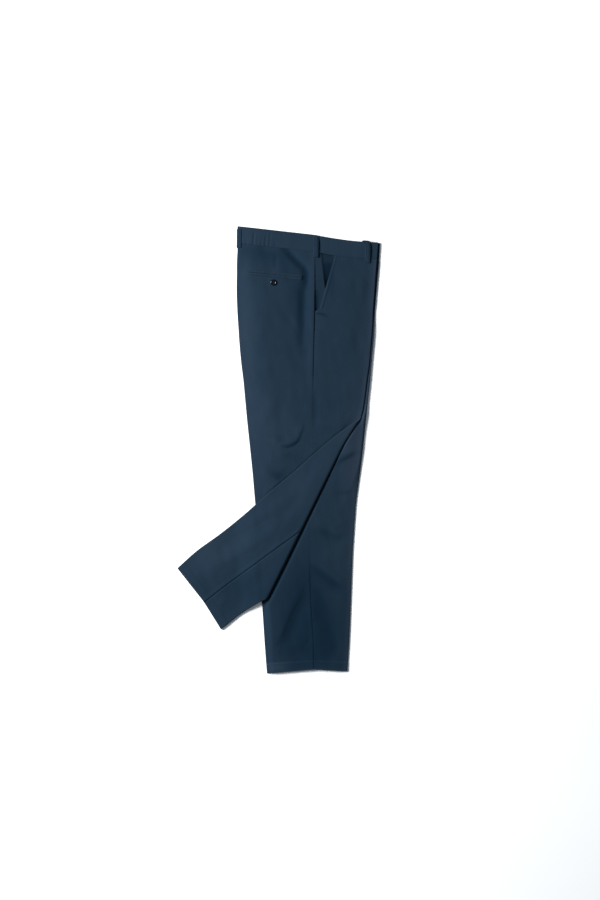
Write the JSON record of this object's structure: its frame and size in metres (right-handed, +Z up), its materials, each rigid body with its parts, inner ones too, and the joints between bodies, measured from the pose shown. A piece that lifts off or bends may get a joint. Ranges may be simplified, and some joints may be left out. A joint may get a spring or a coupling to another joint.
{
  "type": "chino trousers",
  "caption": "Navy cotton twill chino trousers laid flat on their side, folded at the seat and the fly, with the upper leg turned back across the knee.",
  "frame": {"origin": "middle of the laid garment's outline, at the height of the table", "axes": "+Y from the hems to the waist, +X from the seat to the fly, +Z up from the table"},
  "size_m": [0.4862, 1.0724, 0.018],
  "materials": {
    "twill": "matt navy cotton twill",
    "button": "glossy dark navy"
  },
  "bodies": {
    "root": {"back_right": "twill", "front_right": "twill", "back_left": "twill", "front_left": "twill", "waistband_right": "twill", "waistband_left": "twill", "side_pocket_facing_right": "twill", "back_pocket_welt_upper": "twill", "back_pocket_welt_lower": "twill", "back_pocket_button": "button", "belt_loop_side_right": "twill", "belt_loop_front_right": "twill", "belt_loop_seat": "twill"}
  },
  "joints": []
}
